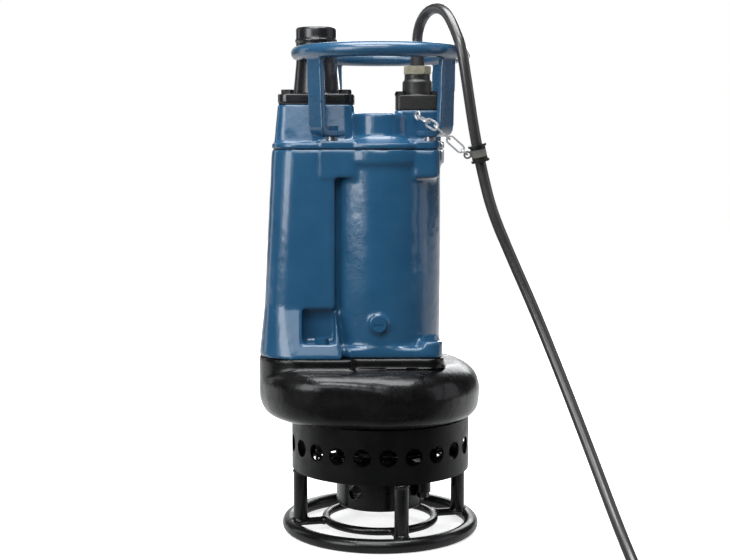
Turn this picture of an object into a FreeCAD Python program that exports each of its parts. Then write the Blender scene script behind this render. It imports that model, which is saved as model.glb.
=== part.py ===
"""A portable slurry pump that stands in a sump on a round bar stand.

The shaft axis is the vertical Z axis and the floor is at Z = 0. X points to the
right of the pump and Y to its back, so the discharge stands at the left.
Angles on the plan are taken from the front (-Y) towards the right (+X).
"""
import FreeCAD, Part
import math
import os

import Sketcher
from FreeCAD import Placement, Rotation, Vector

doc = FreeCAD.newDocument("SlurryPump")
sheet = doc.addObject("Spreadsheet::Sheet", "Sizes")

SIZES = {
    # Stand
    "stand_bar": 21.0,
    "stand_radius": 137.5,
    "inner_ring_bar": 12.0,
    "inner_ring_radius": 82.0,
    "inner_ring_level": 16.0,
    "leg_circle": 123.0,
    "leg_phase": 13.8,
    "leg_count": 4.0,
    # Strainer skirt
    "skirt_radius": 133.0,
    "skirt_wall": 4.0,
    "skirt_low": 97.0,
    "skirt_high": 176.0,
    "skirt_rim": 112.0,
    "skirt_rim_thick": 5.0,
    "strainer_hole": 13.0,
    "strainer_hole_level": 136.0,
    "strainer_hole_count": 22.0,
    "strainer_phase": 4.4,
    "strainer_bolt_circle": 121.0,
    # Suction hub and screen
    "hub_radius": 66.0,
    "hub_bore": 58.0,
    "hub_low": 40.0,
    "hub_flange_low": 89.0,
    "hub_flange_high": 95.0,
    "hub_flange_radius": 100.0,
    "hub_hole": 11.5,
    "hub_hole_level": 66.0,
    "hub_hole_phase": -35.0,
    "hub_boss_low": 66.0,
    "hub_boss_radius": 11.0,
    "suction_bolt_circle": 76.5,
    "suction_bolt_phase": 56.0,
    "screen_radius": 98.0,
    "screen_bar": 4.0,
    "screen_ring_count": 8.0,
    # Suction plate
    "suction_plate_low": 168.0,
    "suction_plate_radius": 105.0,
    "spigot_radius": 92.0,
    "spigot_high": 186.0,
    "inlet_radius": 36.0,
    # Volute
    "volute_low": 176.0,
    "volute_high": 257.0,
    "volute_radius": 149.0,
    "volute_shift": 30.0,
    "volute_wall": 14.0,
    "volute_top_round": 24.0,
    "volute_low_round": 17.0,
    "chamber_low": 188.0,
    "chamber_high": 245.0,
    "casing_face": 273.0,
    "neck_low": 215.0,
    "shoulder_low": 250.0,
    "casing_bolt_floor": 256.0,
    "seal_opening": 62.0,
    # Lower joint of the frame
    "flange_half": 90.0,
    "flange_corner": 22.0,
    "flange_top": 288.0,
    "pad_top": 297.0,
    "pad_radius": 17.0,
    "casing_bolt_left": 85.0,
    "casing_bolt_left_depth": 86.0,
    "casing_bolt_right": 72.0,
    "casing_bolt_right_depth": 74.0,
    # Motor frame
    "frame_radius": 88.5,
    "frame_high": 572.0,
    "collar_radius": 93.0,
    "collar_low": 553.0,
    "duct_front": 82.0,
    "duct_flare_front": 106.0,
    "duct_flare_left": 178.0,
    "duct_flare_back": 92.0,
    "duct_left": 170.0,
    "duct_top_left": 158.0,
    "duct_right": 66.0,
    "duct_flare_top": 345.0,
    "duct_corner": 40.0,
    "duct_flare_corner": 62.0,
    "duct_bore": 30.0,
    "duct_bore_left": 118.0,
    "duct_bore_back": 8.0,
    "stator_bore": 76.0,
    "oil_bore": 55.0,
    "oil_top": 338.0,
    "bearing_web": 350.0,
    "bearing_bore": 36.05,
    "motor_floor": 373.0,
    "oil_plug_level": 322.0,
    "oil_plug_boss": 14.0,
    "oil_plug_left": 3.0,
    "notch_low": 294.0,
    "notch_high": 343.0,
    "lug_low": 531.0,
    "lug_corner": 9.0,
    # Top cover
    "cover_low": 572.5,
    "cover_flange_high": 581.0,
    "cap_radius": 48.5,
    "cap_high": 624.0,
    "head_high": 637.0,
    "head_left": 151.0,
    "head_right": 38.5,
    "head_front": 28.0,
    "head_back": 56.0,
    "gland_pad_high": 628.5,
    "gland_pad_front": 33.0,
    "gland_x": 54.0,
    # Discharge coupling
    "coupling_x": 94.5,
    "coupling_y": 14.0,
    "gasket_thick": 2.0,
    "coupling_flange_high": 652.0,
    "coupling_bore": 25.5,
    "coupling_foot_radius": 34.6,
    "coupling_radius": 30.5,
    "coupling_bead": 32.0,
    "coupling_bead_level": 731.0,
    "coupling_high": 750.0,
    "coupling_bolt_span": 42.0,
    "coupling_bolt_depth": 28.0,
    # Handle
    "handle_radius": 122.0,
    "handle_bar": 21.5,
    "handle_level": 710.5,
    "handle_start": -80.0,
    "handle_end": 231.0,
    "handle_leg_width": 31.0,
    "handle_leg_thick": 9.0,
    "handle_leg_top": 704.0,
    "handle_leg_radius": 118.0,
    "handle_bend": 14.0,
    "foot_low": 589.5,
    "foot_tip": 79.0,
    "handle_bolt_circle": 92.0,
    "rear_left_tip": 92.0,
    "rear_left_bolt_circle": 101.5,
    "spacer_radius": 8.5,
    # Cable gland and cable
    "gland_plate_half": 32.0,
    "gland_plate_high": 650.0,
    "gland_body_high": 681.5,
    "gland_body_half": 22.0,
    "gland_nut_high": 693.0,
    "gland_nut_flats": 34.6,
    "gland_bolt_span": 25.0,
    "sleeve_radius": 10.5,
    "sleeve_high": 708.0,
    "cable_radius": 7.75,
    "cable_length": 10000.0,
    "coil_columns": 4.0,
    "coil_layers": 3.0,
    "eye_radius": 5.6,
    "eye_wire": 1.4,
    "link_wire": 2.5,
    "link_width": 13.2,
    "last_link_pitch": 7.6,
    "corner_play": 1.3,
    "link_play": 0.65,
    "lug_plate": 3.0,
    "lug_hole": 3.2,
    # Shaft and rotor
    "shaft_low": 92.0,
    "shaft_top": 563.0,
    "tail_radius": 8.0,
    "agitator_seat": 10.0,
    "impeller_seat": 12.0,
    "seal_seat": 14.0,
    "lower_bearing_seat": 15.0,
    "rotor_seat": 17.5,
    "upper_bearing_seat": 12.5,
    "rotor_radius": 47.0,
    "stator_inner": 48.0,
    "stack_low": 400.0,
    "stack_high": 500.0,
    "impeller_radius": 80.0,
    "impeller_low": 192.0,
    "impeller_back_low": 228.0,
    "impeller_back_high": 236.0,
    "vane_low": 199.0,
    "vane_thick": 8.0,
    "impeller_vane_count": 5.0,
    "agitator_low": 108.0,
    "agitator_high": 140.0,
    "agitator_radius": 56.0,
    "agitator_blade_count": 3.0,
}


class Size:
    """One size: its number in millimetres or degrees and the expression that gives it."""

    def __init__(self, number, text):
        self.number = number
        self.text = text

    def __add__(self, other):
        other = as_size(other)
        return Size(self.number + other.number, "(%s + %s)" % (self.text, other.text))

    def __radd__(self, other):
        return as_size(other) + self

    def __sub__(self, other):
        other = as_size(other)
        return Size(self.number - other.number, "(%s - %s)" % (self.text, other.text))

    def __rsub__(self, other):
        return as_size(other) - self

    def __mul__(self, other):
        other = as_size(other)
        return Size(self.number * other.number, "(%s * %s)" % (self.text, other.text))

    def __rmul__(self, other):
        return as_size(other) * self

    def __truediv__(self, other):
        other = as_size(other)
        return Size(self.number / other.number, "(%s / %s)" % (self.text, other.text))

    def __neg__(self):
        return Size(-self.number, "(0 - %s)" % self.text)


def as_size(value):
    return value if isinstance(value, Size) else Size(float(value), "%.6g" % value)


def sine(angle):
    angle = as_size(angle)
    return Size(math.sin(math.radians(angle.number)), "sin(%s * 1 deg)" % angle.text)


def cosine(angle):
    angle = as_size(angle)
    return Size(math.cos(math.radians(angle.number)), "cos(%s * 1 deg)" % angle.text)


def polar(radius, angle):
    """Plan position at a radius and an angle from the front towards the right."""
    return radius * sine(angle), -(radius * cosine(angle))


class Dimensions:
    """The sheet's cells by name."""


def fill_sheet():
    cells = Dimensions()
    for row, (alias, number) in enumerate(SIZES.items(), start=1):
        sheet.set("A%d" % row, alias)
        sheet.set("B%d" % row, "%g" % number)
        sheet.setAlias("B%d" % row, alias)
        setattr(cells, alias, Size(number, "Sizes." + alias))
    doc.recompute()
    return cells


d = fill_sheet()


def bind(item, prop, value):
    item.setExpression(prop, as_size(value).text)


def place(item, at=(0, 0, 0), axis=(0, 0, 1), angle=None):
    """Set an object's place, with each part of it bound."""
    spin = as_size(0 if angle is None else angle)
    base = Vector(*[as_size(value).number for value in at])
    item.Placement = Placement(base, Rotation(Vector(*axis), spin.number))
    for letter, value in zip("xyz", at):
        bind(item, "Placement.Base." + letter, value)
    if angle is not None:
        bind(item, "Placement.Rotation.Angle", angle)
    return item


def counter():
    """Numbers that keep the names of helper objects apart."""
    number = 0
    while True:
        number += 1
        yield number


serial = counter()


def helper_name(word):
    return "%s_%d" % (word, next(serial))


def origin_item(body, role):
    return [item for item in body.Origin.OriginFeatures if item.Role == role][0]


def arc_between(start, end, radius):
    """The shorter arc from start to end; a positive radius runs anticlockwise."""
    size = abs(radius)
    middle = (start + end) / 2
    along = end - start
    reach = math.sqrt(max(size ** 2 - (along.Length / 2) ** 2, 0))
    side = Vector(-along.y, along.x, 0).normalize() * (reach if radius > 0 else -reach)
    centre = middle + side
    first, last = (start, end) if radius > 0 else (end, start)
    turns = [math.atan2(point.y - centre.y, point.x - centre.x) for point in (first, last)]
    circle = Part.Circle(centre, Vector(0, 0, 1), size)
    return Part.ArcOfCircle(circle, turns[0], turns[1])


def draw_outline(sketch, corners):
    """Draw a closed outline; a corner's third value is the radius of the arc that leaves it."""
    first = sketch.GeometryCount
    count = len(corners)
    points = [Vector(as_size(c[0]).number, as_size(c[1]).number, 0) for c in corners]
    for index, corner in enumerate(corners):
        start = points[index]
        end = points[(index + 1) % count]
        if len(corner) == 3:
            sketch.addGeometry(arc_between(start, end, as_size(corner[2]).number), False)
        else:
            sketch.addGeometry(Part.LineSegment(start, end), False)
    heads = [2 if len(c) == 3 and as_size(c[2]).number < 0 else 1 for c in corners]
    for index, corner in enumerate(corners):
        after = (index + 1) % count
        here = first + index
        tail = 3 - heads[index]
        joint = Sketcher.Constraint("Coincident", here, tail, first + after, heads[after])
        sketch.addConstraint(joint)
        for kind, value in (("DistanceX", corner[0]), ("DistanceY", corner[1])):
            number = as_size(value).number
            limit = Sketcher.Constraint(kind, -1, 1, here, heads[index], number)
            bind(sketch, "Constraints[%d]" % sketch.addConstraint(limit), value)
        if len(corner) == 3:
            radius = as_size(corner[2])
            radius = radius if radius.number > 0 else -radius
            limit = Sketcher.Constraint("Radius", here, radius.number)
            bind(sketch, "Constraints[%d]" % sketch.addConstraint(limit), radius)


def draw_circle(sketch, x, y, radius):
    x, y, radius = as_size(x), as_size(y), as_size(radius)
    circle = Part.Circle(Vector(x.number, y.number, 0), Vector(0, 0, 1), radius.number)
    here = sketch.addGeometry(circle, False)
    for kind, value in (("DistanceX", x), ("DistanceY", y)):
        limit = Sketcher.Constraint(kind, -1, 1, here, 3, value.number)
        bind(sketch, "Constraints[%d]" % sketch.addConstraint(limit), value)
    limit = Sketcher.Constraint("Radius", here, radius.number)
    bind(sketch, "Constraints[%d]" % sketch.addConstraint(limit), radius)


def sketch_in(body, plane, outlines=(), circles=(), level=0):
    sketch = body.newObject("Sketcher::SketchObject", helper_name("Sketch"))
    sketch.AttachmentSupport = [(origin_item(body, plane), "")]
    sketch.MapMode = "FlatFace"
    bind(sketch, "AttachmentOffset.Base.z", level)
    for corners in outlines:
        draw_outline(sketch, corners)
    for x, y, radius in circles:
        draw_circle(sketch, x, y, radius)
    return sketch


def new_body(label):
    body = doc.addObject("PartDesign::Body", label)
    body.Label = label
    return body


def turn(body, profile):
    """Add a profile of (radius, level) corners turned about the Z axis."""
    feature = body.newObject("PartDesign::Revolution", helper_name("Turned"))
    feature.Profile = sketch_in(body, "XZ_Plane", [profile])
    feature.ReferenceAxis = (feature.Profile[0], ["V_Axis"])
    feature.Angle = 360
    return feature


def turn_away(body, profile):
    """Cut away a profile of (radius, level) corners turned about the Z axis."""
    feature = body.newObject("PartDesign::Groove", helper_name("Groove"))
    feature.Profile = sketch_in(body, "XZ_Plane", [profile])
    feature.ReferenceAxis = (feature.Profile[0], ["V_Axis"])
    feature.Angle = 360
    return feature


def pad(body, low, high, outlines=(), circles=()):
    """Raise outlines on the plan from one level to another."""
    feature = body.newObject("PartDesign::Pad", helper_name("Pad"))
    feature.Profile = sketch_in(body, "XY_Plane", outlines, circles, low)
    bind(feature, "Length", as_size(high) - low)
    return feature


def pocket(body, low, high, outlines=(), circles=()):
    """Sink outlines on the plan from the higher level to the lower one."""
    feature = body.newObject("PartDesign::Pocket", helper_name("Pocket"))
    feature.Profile = sketch_in(body, "XY_Plane", outlines, circles, high)
    bind(feature, "Length", as_size(high) - low)
    return feature


def side_pocket(body, x, level, radius, reach):
    """Drill a round hole through the front wall, from the axis outwards."""
    feature = body.newObject("PartDesign::Pocket", helper_name("SideHole"))
    feature.Profile = sketch_in(body, "XZ_Plane", circles=[(x, level, radius)])
    feature.Reversed = True
    bind(feature, "Length", reach)
    return feature


def pattern(body, features, count):
    """Repeat features evenly about the Z axis."""
    repeat = body.newObject("PartDesign::PolarPattern", helper_name("Polar"))
    repeat.Originals = features
    repeat.Axis = (origin_item(body, "Z_Axis"), [""])
    repeat.Angle = 360
    bind(repeat, "Occurrences", count)
    body.Tip = repeat
    return repeat


def plan_sketch(body, shape, level):
    """A sketch of an outline, or of a circle given as ("circle", x, y, radius)."""
    if shape[0] == "circle":
        return sketch_in(body, "XY_Plane", circles=[shape[1:]], level=level)
    return sketch_in(body, "XY_Plane", [shape], level=level)


def loft(body, low, low_shape, high, high_shape, away=False):
    """Blend one plan shape into another higher up, adding or cutting."""
    kind = "PartDesign::SubtractiveLoft" if away else "PartDesign::AdditiveLoft"
    feature = body.newObject(kind, helper_name("Loft"))
    feature.Profile = plan_sketch(body, low_shape, low)
    feature.Sections = [plan_sketch(body, high_shape, high)]
    feature.Ruled = True
    return feature


def soften(body, edges_wanted, radius):
    """Round the body's edges that the test picks."""
    doc.recompute()
    base = body.Tip
    names = []
    for number, edge in enumerate(base.Shape.Edges, start=1):
        if edges_wanted(edge):
            names.append("Edge%d" % number)
    feature = body.newObject("PartDesign::Fillet", helper_name("Round"))
    feature.Base = (base, names)
    bind(feature, "Radius", radius)
    return feature


def at_level(level):
    """A test for edges that lie wholly at one level."""
    number = as_size(level).number

    def test(edge):
        box = edge.BoundBox
        return abs(box.ZMin - number) < 0.01 and abs(box.ZMax - number) < 0.01

    return test


def cylinder(x, y, low, high, radius):
    item = doc.addObject("Part::Cylinder", helper_name("Cylinder"))
    bind(item, "Radius", radius)
    bind(item, "Height", as_size(high) - low)
    return place(item, (x, y, low))


def hexagon(x, y, low, high, flats):
    """A hexagonal prism given by its width across flats."""
    item = doc.addObject("Part::Prism", helper_name("Hexagon"))
    item.Polygon = 6
    bind(item, "Circumradius", as_size(flats) / math.sqrt(3))
    bind(item, "Height", as_size(high) - low)
    return place(item, (x, y, low))


def torus(radius, bar, level, start=0, sweep=360):
    item = doc.addObject("Part::Torus", helper_name("Torus"))
    bind(item, "Radius1", radius)
    bind(item, "Radius2", as_size(bar) / 2)
    bind(item, "Angle3", sweep)
    return place(item, (0, 0, level), angle=start)


def sphere(x, y, level, radius):
    item = doc.addObject("Part::Sphere", helper_name("Sphere"))
    bind(item, "Radius", radius)
    return place(item, (x, y, level))


def block(x, y, level, across, depth, high):
    """A box whose lowest corner is at x, y, level."""
    item = doc.addObject("Part::Box", helper_name("Block"))
    bind(item, "Length", across)
    bind(item, "Width", depth)
    bind(item, "Height", high)
    return place(item, (x, y, level))


def cut(base, tool, label=None):
    item = doc.addObject("Part::Cut", label or helper_name("Cut"))
    item.Base = base
    item.Tool = tool
    return item


def fuse(items, label=None):
    item = doc.addObject("Part::MultiFuse", label or helper_name("Fuse"))
    item.Shapes = items
    item.Refine = True
    return item


def group(items, label):
    """Separate identical pieces that share one node."""
    item = doc.addObject("Part::Compound", label)
    item.Links = items
    return item


def solid(shape, label):
    """A piece whose shape is worked out directly from the sheet's sizes."""
    item = doc.addObject("Part::Feature", label)
    item.Shape = shape
    return item


def tube_piece(x, y, low, high, outer, inner, label=None):
    core = cylinder(x, y, as_size(low) - 1, as_size(high) + 1, inner)
    return cut(cylinder(x, y, low, high, outer), core, label)


def bolt(x, y, seat, shank, length, flats, head, head_up=True):
    """A hexagon bolt: its head stands on the seat, the shank goes through it."""
    if head_up:
        parts = [hexagon(x, y, seat, as_size(seat) + head, flats),
                 cylinder(x, y, as_size(seat) - length, seat, shank)]
    else:
        parts = [hexagon(x, y, as_size(seat) - head, seat, flats),
                 cylinder(x, y, seat, as_size(seat) + length, shank)]
    return fuse(parts)


def rounded_box(left, front, right, back, corner):
    """A rectangle on the plan with four equal round corners, anticlockwise."""
    left, front, right, back = (as_size(v) for v in (left, front, right, back))
    corner = as_size(corner)
    return [(left + corner, front), (right - corner, front, corner),
            (right, front + corner), (right, back - corner, corner),
            (right - corner, back), (left + corner, back, corner),
            (left, back - corner), (left, front + corner, corner)]


NODES = []


def node(item, label):
    """Name a finished piece, which makes it a part of its own."""
    item.Label = label
    NODES.append(item)
    return item


# Plan outlines that several pieces share

def duct_outline(left, front, right, back, corner):
    """The duct's plan: round corners on the left, square ones inside the frame."""
    left, front, right, back, corner = (as_size(v) for v in (left, front, right, back, corner))
    return [(left + corner, front), (right, front), (right, back), (left + corner, back, corner),
            (left, back - corner), (left, front + corner, corner)]


def volute_outline(inset):
    """The casing's plan: it swells from the right side round to the left."""
    radius = d.volute_radius - inset
    shift = d.volute_shift
    return [(0, -radius, radius), (radius, 0, radius), (0, radius, radius + shift),
            (-(radius + shift), -shift, radius - shift), (-(shift * 2), -radius)]


CASING_BOLTS = [
    (-d.casing_bolt_left, -d.casing_bolt_left_depth),
    (d.casing_bolt_right, -d.casing_bolt_right_depth),
    (d.casing_bolt_right, d.casing_bolt_right_depth),
    (-d.casing_bolt_left, d.casing_bolt_left_depth),
]

# Each handle leg: its angle, the radius of its bolt and where its foot ends
HANDLE_LEGS = [
    (-50, d.handle_bolt_circle, d.foot_tip),
    (50, d.handle_bolt_circle, d.foot_tip),
    (130, d.handle_bolt_circle, d.foot_tip),
    (-143, d.rear_left_bolt_circle, d.rear_left_tip),
]
HANDLE_BOLTS = [polar(radius, angle) for angle, radius, tip in HANDLE_LEGS]

# Plan of the lug under each leg: left, front, right, back, and its low level on the frame
LUGS = [
    (-92, -84, -33, -36, d.lug_low),
    (45, -80, 84, -36, d.lug_low),
    (45, 36, 97, 80, d.lug_low + 18),
    (-88, 52, -36, 99, d.lug_low),
]

M8_HOLE = 4.2
M10_HOLE = 5.2
M12_HOLE = 6.2
GAP = 0.2


def bolt_group(label, places, seat, shank, length, flats, head, head_up=True):
    bolts = [bolt(x, y, seat, shank, length, flats, head, head_up) for x, y in places]
    return node(group(bolts, label), label)


# Stand

def make_stand():
    bar = d.stand_bar
    inner_bar = d.inner_ring_bar
    outer = torus(d.stand_radius, bar, bar / 2)
    node(outer, "stand_outer_ring")
    inner = torus(d.inner_ring_radius, inner_bar, d.inner_ring_level)
    node(inner, "stand_inner_ring")
    spokes = []
    legs = []
    for index in range(int(d.leg_count.number)):
        angle = d.leg_phase + 90 * index
        spoke = doc.addObject("Part::Cylinder", helper_name("Spoke"))
        bind(spoke, "Radius", inner_bar / 2)
        bind(spoke, "Height", d.stand_radius - d.inner_ring_radius)
        x, y = polar(d.inner_ring_radius, angle)
        flat = Rotation(Vector(0, 0, 1), angle.number - 90) * Rotation(Vector(0, 1, 0), 90)
        spoke.Placement = Placement(Vector(x.number, y.number, 0), flat)
        for letter, value in zip("xyz", (x, y, d.inner_ring_level)):
            bind(spoke, "Placement.Base." + letter, value)
        ends = fuse([torus(d.stand_radius, bar, bar / 2),
                     torus(d.inner_ring_radius, inner_bar, d.inner_ring_level)])
        spokes.append(cut(spoke, ends))
        x, y = polar(d.leg_circle, angle)
        leg = cylinder(x, y, d.inner_ring_level, d.skirt_low, bar / 2)
        legs.append(cut(leg, fuse([torus(d.stand_radius, bar, bar / 2), cut(spoke, ends)])))
    node(group(spokes, "stand_spokes"), "stand_spokes")
    node(group(legs, "stand_legs"), "stand_legs")


# Strainer skirt with its ring of round holes

def strainer_bolt_places():
    return [polar(d.strainer_bolt_circle, d.strainer_phase + 60 * index) for index in range(6)]


def make_strainer():
    body = new_body("strainer_skirt")
    outer = d.skirt_radius
    inner = outer - d.skirt_wall
    rim_low = d.skirt_high - d.skirt_rim_thick
    foot_high = d.skirt_low + d.skirt_wall
    turn(body, [(d.skirt_rim, d.skirt_low), (outer, d.skirt_low), (outer, d.skirt_high),
                (d.skirt_rim, d.skirt_high), (d.skirt_rim, rim_low), (inner, rim_low),
                (inner, foot_high), (d.skirt_rim, foot_high)])
    holes = [polar(d.strainer_bolt_circle, 60 * index) for index in range(6)]
    pocket(body, rim_low, d.skirt_high, circles=[(x, y, M8_HOLE) for x, y in holes])
    hole = side_pocket(body, 0, d.strainer_hole_level, d.strainer_hole, outer + 2)
    pattern(body, [hole], d.strainer_hole_count)
    place(body, angle=d.strainer_phase)
    node(body, "strainer_skirt")
    bolt_group("strainer_bolts", strainer_bolt_places(), rim_low, 4, 13, 13, 5.5, False)


# Suction side: hub, ring screen and wear plate

def suction_bolt_places():
    return [polar(d.suction_bolt_circle, d.suction_bolt_phase + 180 * index) for index in range(2)]


def make_suction():
    body = new_body("hub_casting")
    turn(body, [(d.hub_bore, d.hub_low), (d.hub_radius - 2, d.hub_low),
                (d.hub_radius, d.hub_low + 2), (d.hub_radius, d.hub_flange_low),
                (d.hub_flange_radius, d.hub_flange_low),
                (d.hub_flange_radius, d.hub_flange_high), (d.hub_bore, d.hub_flange_high)])
    bosses = [(x, y, d.hub_boss_radius) for x, y in suction_bolt_places()]
    for boss in bosses:
        pad(body, d.hub_boss_low, d.hub_flange_low, circles=[boss])
    turn_away(body, [(0, d.hub_low - 1), (d.hub_bore, d.hub_low - 1),
                     (d.hub_bore, d.hub_flange_high + 1), (0, d.hub_flange_high + 1)])
    for x, y in suction_bolt_places():
        pocket(body, d.hub_boss_low - 1, d.hub_flange_high, circles=[(x, y, M10_HOLE)])
    across = doc.addObject("Part::Cylinder", helper_name("HubHoles"))
    bind(across, "Radius", d.hub_hole)
    bind(across, "Height", d.hub_radius * 2 + 10)
    turned = Rotation(Vector(0, 0, 1), d.hub_hole_phase.number) * Rotation(Vector(1, 0, 0), 90)
    reach = d.hub_radius + 5
    x, y = polar(reach, d.hub_hole_phase + 180)
    across.Placement = Placement(Vector(x.number, y.number, 0), turned)
    for letter, value in zip("xyz", (x, y, d.hub_hole_level)):
        bind(across, "Placement.Base." + letter, value)
    node(cut(body, across), "suction_hub")

    outer = d.screen_radius
    inner = outer - d.screen_bar
    rings = []
    count = int(d.screen_ring_count.number)
    pitch = (d.suction_plate_low - d.hub_flange_high - d.screen_bar) / (count - 1)
    for index in range(count):
        low = d.hub_flange_high + pitch * index
        rings.append(tube_piece(0, 0, low, low + d.screen_bar, outer, inner))
    high = d.suction_plate_low - d.hub_flange_high
    for index in range(6):
        rod = block(inner - 5, -2.5, d.hub_flange_high, 6, 5, high)
        turned = doc.addObject("Part::Feature", helper_name("Rod"))
        doc.recompute()
        shape = rod.Shape.copy()
        shape.rotate(Vector(0, 0, 0), Vector(0, 0, 1), 30 + 60 * index)
        turned.Shape = shape
        rings.append(turned)
    node(fuse(rings, "inner_screen"), "inner_screen")

    plate = new_body("suction_plate")
    low = d.suction_plate_low
    turn(plate, [(d.inlet_radius + 8, low), (d.suction_plate_radius + 6, low),
                 (d.suction_plate_radius + 6, d.volute_low), (d.spigot_radius, d.volute_low),
                 (d.spigot_radius, d.spigot_high), (d.inlet_radius, d.spigot_high),
                 (d.inlet_radius, low + 7)])
    screws = plate_screw_places()
    pocket(plate, low, d.volute_low, circles=[(x, y, 3.2) for x, y in screws])
    sockets = [(x, y, M10_HOLE) for x, y in suction_bolt_places()]
    pocket(plate, low, d.spigot_high - 4, circles=sockets)
    node(plate, "suction_plate")
    bolt_group("suction_plate_screws", screws, low, 3, 16, 10, 4, False)
    bolt_group("suction_bolts", suction_bolt_places(), d.hub_boss_low, 5,
               d.spigot_high - 5 - d.hub_boss_low, 16, 8, False)


def plate_screw_places():
    return [polar(104.8, 30 + 90 * index) for index in range(4)]


# Volute casing

def make_volute():
    body = new_body("volute_casing")
    pad(body, d.volute_low, d.volute_high, [volute_outline(0)])
    soften(body, at_level(d.volute_high), d.volute_top_round)
    soften(body, at_level(d.volute_low), d.volute_low_round)
    neck = duct_outline(-d.duct_flare_left, -d.duct_flare_front, -40, d.duct_flare_back,
                        d.duct_flare_corner)
    pad(body, d.neck_low, d.casing_face, [neck])
    half = d.flange_half + 2
    pad(body, d.shoulder_low, d.casing_face, [rounded_box(-62, -half, half, half, d.flange_corner)])
    pocket(body, d.chamber_low, d.chamber_high, [volute_outline(d.volute_wall)])
    pocket(body, d.volute_low - 1, d.chamber_low + 1, circles=[(0, 0, d.spigot_radius + GAP)])
    pocket(body, d.chamber_high - 1, d.casing_face, circles=[(0, 0, d.seal_opening)])
    bore = (-d.duct_bore_left, d.duct_bore_back, d.duct_bore)
    pocket(body, d.chamber_high - 1, d.casing_face, circles=[bore])
    bolts = [(x, y, M12_HOLE) for x, y in CASING_BOLTS]
    pocket(body, d.casing_bolt_floor, d.casing_face, circles=bolts)
    low_holes = [(x, y, M8_HOLE) for x, y in strainer_bolt_places()]
    low_holes += [(x, y, 3.2) for x, y in plate_screw_places()]
    pocket(body, d.volute_low - 1, d.volute_low + 9, circles=low_holes)
    node(body, "volute_casing")


# Motor frame with the discharge duct on its left

def make_frame():
    body = new_body("motor_frame")
    top = d.frame_high
    face = d.casing_face
    pad(body, face, top, circles=[(0, 0, d.frame_radius)])
    turn(body, [(0, d.collar_low - 8), (d.frame_radius - 1, d.collar_low - 8),
                (d.collar_radius, d.collar_low), (d.collar_radius, top), (0, top)])
    flare = duct_outline(-d.duct_flare_left, -d.duct_flare_front, -55, d.duct_flare_back,
                         d.duct_flare_corner)
    waist = duct_outline(-d.duct_left, -d.duct_front, -d.duct_right, d.duct_front, d.duct_corner)
    head = duct_outline(-d.duct_top_left, -d.duct_front, -d.duct_right, d.duct_front,
                        d.duct_corner)
    loft(body, face, flare, d.duct_flare_top, waist)
    loft(body, d.duct_flare_top, waist, top, head)
    half = d.flange_half
    pad(body, face, d.flange_top, [rounded_box(-60, -half, half, half, d.flange_corner)])
    for x, y in CASING_BOLTS[1:3]:
        pad(body, face, d.pad_top, circles=[(x, y, d.pad_radius)])
    for left, front, right, back, low in LUGS:
        pad(body, low, top, [rounded_box(left, front, right, back, d.lug_corner)])
    plug = body.newObject("PartDesign::Pad", helper_name("PlugBoss"))
    boss = (-d.oil_plug_left, d.oil_plug_level, d.oil_plug_boss)
    plug.Profile = sketch_in(body, "XZ_Plane", circles=[boss])
    bind(plug, "Length", d.frame_radius + 4)
    for x, y in (CASING_BOLTS[0], CASING_BOLTS[3]):
        sign = -1 if y.number < 0 else 1
        edges = sorted([sign * 66.0, sign * 125.0])
        pocket(body, d.notch_low, d.notch_high, [rounded_box(-113, edges[0], -66, edges[1], 5)])
    turn_away(body, [(0, face - 1), (d.oil_bore, face - 1), (d.oil_bore, d.oil_top),
                     (21, d.oil_top), (21, d.bearing_web), (d.bearing_bore, d.bearing_web),
                     (d.bearing_bore, d.motor_floor), (d.stator_bore, d.motor_floor),
                     (d.stator_bore, top + 1), (0, top + 1)])
    pocket(body, face, top, circles=[(-d.duct_bore_left, d.duct_bore_back, d.duct_bore)])
    pocket(body, face, d.pad_top, circles=[(x, y, M12_HOLE) for x, y in CASING_BOLTS])
    pocket(body, top - 38, top, circles=[(x, y, M10_HOLE) for x, y in HANDLE_BOLTS])
    hole = side_pocket(body, -d.oil_plug_left, d.oil_plug_level, 8.2, d.frame_radius + 6)
    hole.Label = "oil_filler"
    node(body, "motor_frame")

    y_face = d.frame_radius + 4
    head_disc = doc.addObject("Part::Cylinder", helper_name("PlugHead"))
    bind(head_disc, "Radius", 10.5)
    bind(head_disc, "Height", 3.5)
    shank = doc.addObject("Part::Cylinder", helper_name("PlugShank"))
    bind(shank, "Radius", 8)
    bind(shank, "Height", 24)
    forward = Rotation(Vector(1, 0, 0), 90)
    for item, start in ((head_disc, -y_face), (shank, 24 - y_face)):
        item.Placement = Placement(Vector(-d.oil_plug_left.number, 0, 0), forward)
        bind(item, "Placement.Base.x", -d.oil_plug_left)
        bind(item, "Placement.Base.y", start)
        bind(item, "Placement.Base.z", d.oil_plug_level)
    slot = block(-d.oil_plug_left - 7, -(y_face + 4), d.oil_plug_level - 1, 14, 2, 2)
    node(cut(fuse([head_disc, shank]), slot, "oil_plug"), "oil_plug")

    left = [bolt(x, y, d.notch_low, 6, 36, 18, 7.5) for x, y in (CASING_BOLTS[0], CASING_BOLTS[3])]
    right = [bolt(x, y, d.pad_top, 6, 39, 18, 7.5) for x, y in CASING_BOLTS[1:3]]
    node(group(left + right, "casing_bolts"), "casing_bolts")


# Top cover with the discharge head and the cable pad

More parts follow.
